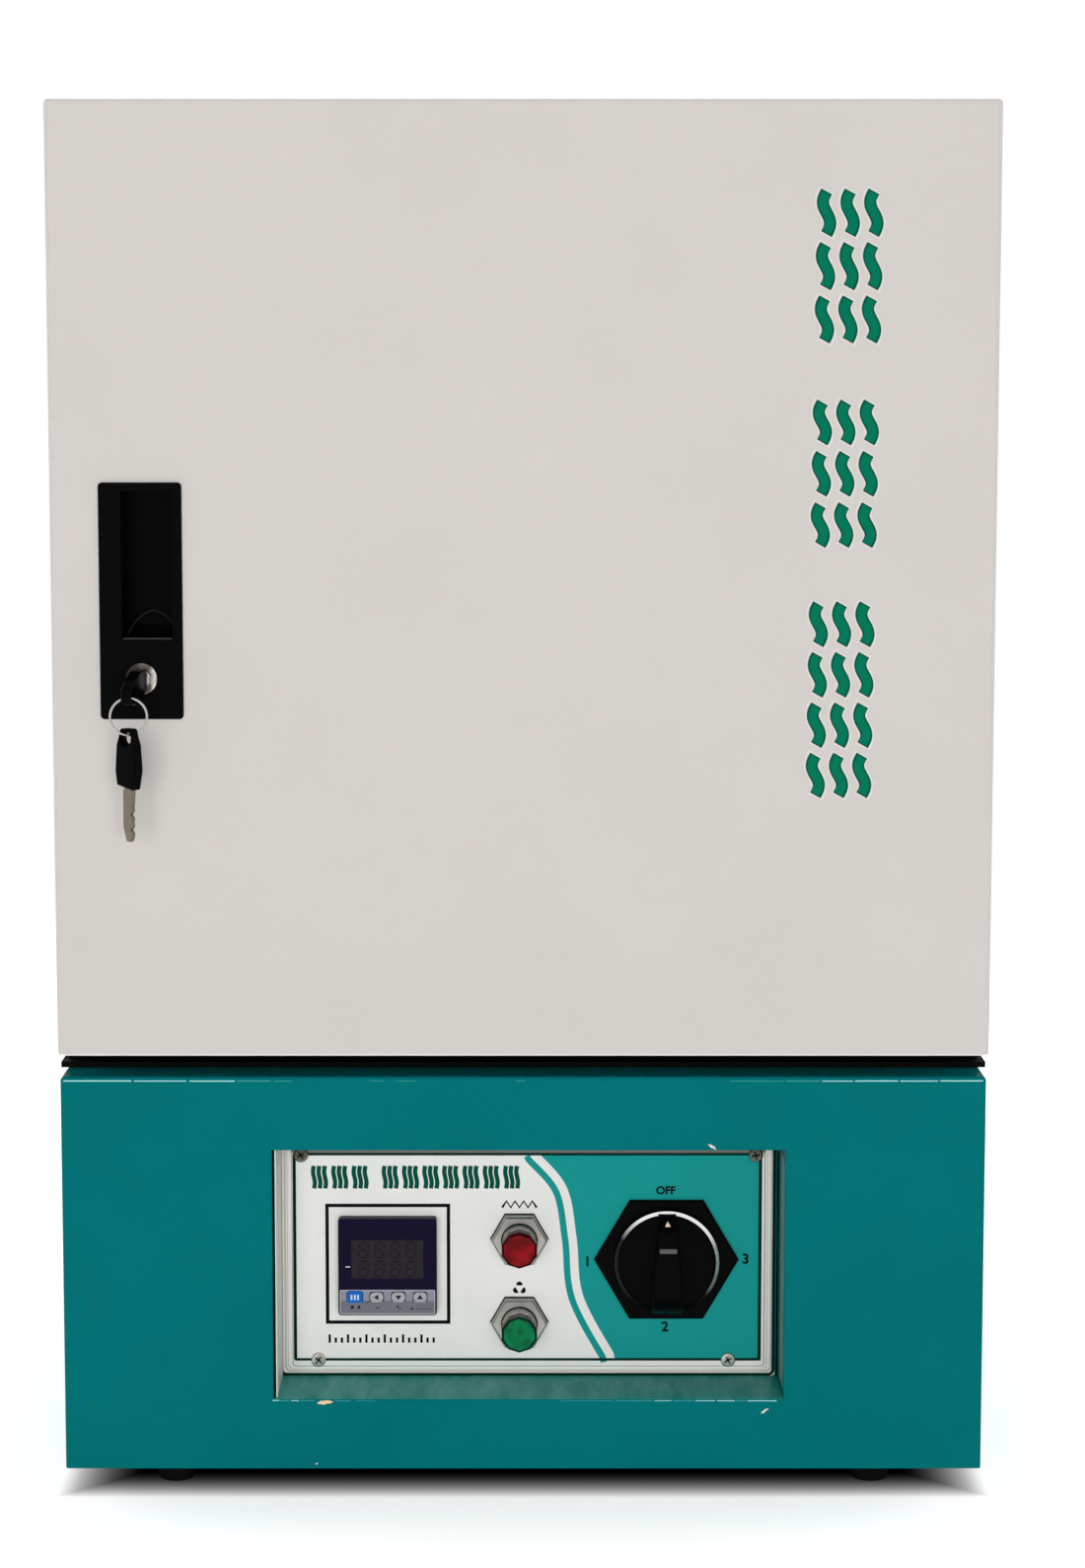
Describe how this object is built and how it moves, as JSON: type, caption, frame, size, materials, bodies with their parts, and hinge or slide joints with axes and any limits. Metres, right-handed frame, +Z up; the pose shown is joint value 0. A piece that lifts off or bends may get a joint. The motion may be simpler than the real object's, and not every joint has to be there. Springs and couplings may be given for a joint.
{
  "type": "dry heat sterilizer",
  "caption": "Bench-top hot air oven for dry heat sterilizing: insulated cabinet with a full-front key-locked door on a base with recessed controls.",
  "frame": {"origin": "on the table, under the middle of the oven's overall box", "axes": "+X to the viewer's right, -Y to the front where the door is, +Z up"},
  "size_m": [0.456, 0.5089, 0.663],
  "materials": {
    "base_paint": "satin",
    "door_paint": "satin",
    "cabinet_paint": "satin",
    "plate_paint": "satin",
    "label_print": "gloss",
    "black_plastic": "gloss",
    "bezel_plastic": "satin",
    "window_plastic": "gloss",
    "key_plastic": "satin",
    "set_key_plastic": "satin",
    "lamp_red": "gloss",
    "lamp_green": "gloss",
    "chrome": "polished",
    "zinc_steel": "satin",
    "stainless": "satin",
    "black_rubber": "matte",
    "seal_rubber": "matte",
    "mineral_wool": "matte",
    "ceramic_white": "matte",
    "heater_sheath": "matte",
    "motor_paint": "satin",
    "key_steel": "satin"
  },
  "bodies": {
    "oven": {"base_shell": "base_paint", "base_bottom_plate": "zinc_steel", "base_rear_panel": "base_paint", "rubber_feet": "black_rubber", "control_plate": "plate_paint", "control_label": "label_print", "label_screws": "chrome", "controller_case": "bezel_plastic", "controller_window": "window_plastic", "lamp_nuts": "chrome", "red_lamp_lens": "lamp_red", "green_lamp_lens": "lamp_green", "lamp_bodies": "black_plastic", "switch_plate": "black_plastic", "switch_body": "black_plastic", "mains_inlet": "black_plastic", "terminal_block": "ceramic_white", "heater_relay": "black_plastic", "plinth_strip": "black_rubber", "cabinet_shell": "cabinet_paint", "cabinet_rear_panel": "cabinet_paint", "panel_screws": "chrome", "inner_chamber": "stainless", "latch_pocket": "zinc_steel", "chamber_insulation": "mineral_wool", "shelf_runners": "stainless", "floor_grille": "stainless", "heater_element": "heater_sheath", "fan_guard": "stainless", "fan_motor": "motor_paint", "motor_cover": "cabinet_paint", "sensor_probe": "stainless", "vent_bodies": "zinc_steel", "door_gasket": "seal_rubber", "hinge_cabinet_leaves": "zinc_steel", "hinge_pins": "zinc_steel"},
    "door": {"door_outer_pan": "door_paint", "door_inner_pan": "stainless", "door_insulation": "mineral_wool", "handle_plate": "black_plastic", "hinge_door_leaves": "zinc_steel", "lock_barrel": "chrome", "lock_nut": "zinc_steel"},
    "lock": {"lock_plug": "chrome", "lock_cam": "zinc_steel", "key_blade": "key_steel", "key_bow": "black_plastic"},
    "ring": {"key_ring": "chrome"},
    "spare_key": {"spare_blade": "key_steel", "spare_bow": "black_plastic"},
    "selector_knob": {"switch_knob": "black_plastic"},
    "fan": {"fan_impeller": "zinc_steel"},
    "left_shutter": {"left_vent_shutter": "chrome"},
    "right_shutter": {"right_vent_shutter": "chrome"},
    "shelf_low": {"lower_shelf": "chrome"},
    "shelf_high": {"upper_shelf": "chrome"},
    "key_1": {"set_key": "set_key_plastic"},
    "key_2": {"shift_key": "key_plastic"},
    "key_3": {"down_key": "key_plastic"},
    "key_4": {"up_key": "key_plastic"}
  },
  "joints": [
    {"name": "door_hinge", "type": "hinge", "parent": "oven", "child": "door", "pos_m": [0.222, -0.18192, 0.435], "axis": [0, 0, 1], "range_deg": [0, 135]},
    {"name": "lock_turn", "type": "hinge", "parent": "door", "child": "lock", "pos_m": [-0.17865, -0.22182, 0.3957], "axis": [0, 1, 0], "range_deg": [0, 90]},
    {"name": "ring_swing", "type": "hinge", "parent": "lock", "child": "ring", "pos_m": [-0.18191, -0.24908, 0.38885], "axis": [0.9848, 0.1736, 0], "range_deg": [-45, 12]},
    {"name": "spare_swing", "type": "hinge", "parent": "ring", "child": "spare_key", "pos_m": [-0.18191, -0.24908, 0.37185], "axis": [0.9848, 0.1736, 0], "range_deg": [-12, 8]},
    {"name": "selector_turn", "type": "hinge", "parent": "oven", "child": "selector_knob", "pos_m": [0.0699, -0.18452, 0.1081], "axis": [0, 1, 0], "continuous": true},
    {"name": "fan_spin", "type": "hinge", "parent": "oven", "child": "fan", "pos_m": [0, 0.11498, 0.435], "axis": [0, 1, 0], "continuous": true},
    {"name": "left_shutter_turn", "type": "hinge", "parent": "oven", "child": "left_shutter", "pos_m": [-0.2223, -0.02642, 0.543], "axis": [1, 0, 0], "range_deg": [0, 45]},
    {"name": "right_shutter_turn", "type": "hinge", "parent": "oven", "child": "right_shutter", "pos_m": [0.2223, -0.02642, 0.543], "axis": [-1, 0, 0], "range_deg": [0, 45]},
    {"name": "lower_shelf_slide", "type": "slide", "parent": "oven", "child": "shelf_low", "axis": [0, -1, 0], "range_m": [0, 0.0088]},
    {"name": "upper_shelf_slide", "type": "slide", "parent": "oven", "child": "shelf_high", "axis": [0, -1, 0], "range_m": [0, 0.0088]},
    {"name": "set_key_press", "type": "slide", "parent": "oven", "child": "key_1", "axis": [0, 1, 0], "range_m": [0, 0.0006], "stiffness_N_per_m": 1500, "springref_m": -0.0006},
    {"name": "shift_key_press", "type": "slide", "parent": "oven", "child": "key_2", "axis": [0, 1, 0], "range_m": [0, 0.0006], "stiffness_N_per_m": 1500, "springref_m": -0.0006},
    {"name": "down_key_press", "type": "slide", "parent": "oven", "child": "key_3", "axis": [0, 1, 0], "range_m": [0, 0.0006], "stiffness_N_per_m": 1500, "springref_m": -0.0006},
    {"name": "up_key_press", "type": "slide", "parent": "oven", "child": "key_4", "axis": [0, 1, 0], "range_m": [0, 0.0006], "stiffness_N_per_m": 1500, "springref_m": -0.0006}
  ]
}
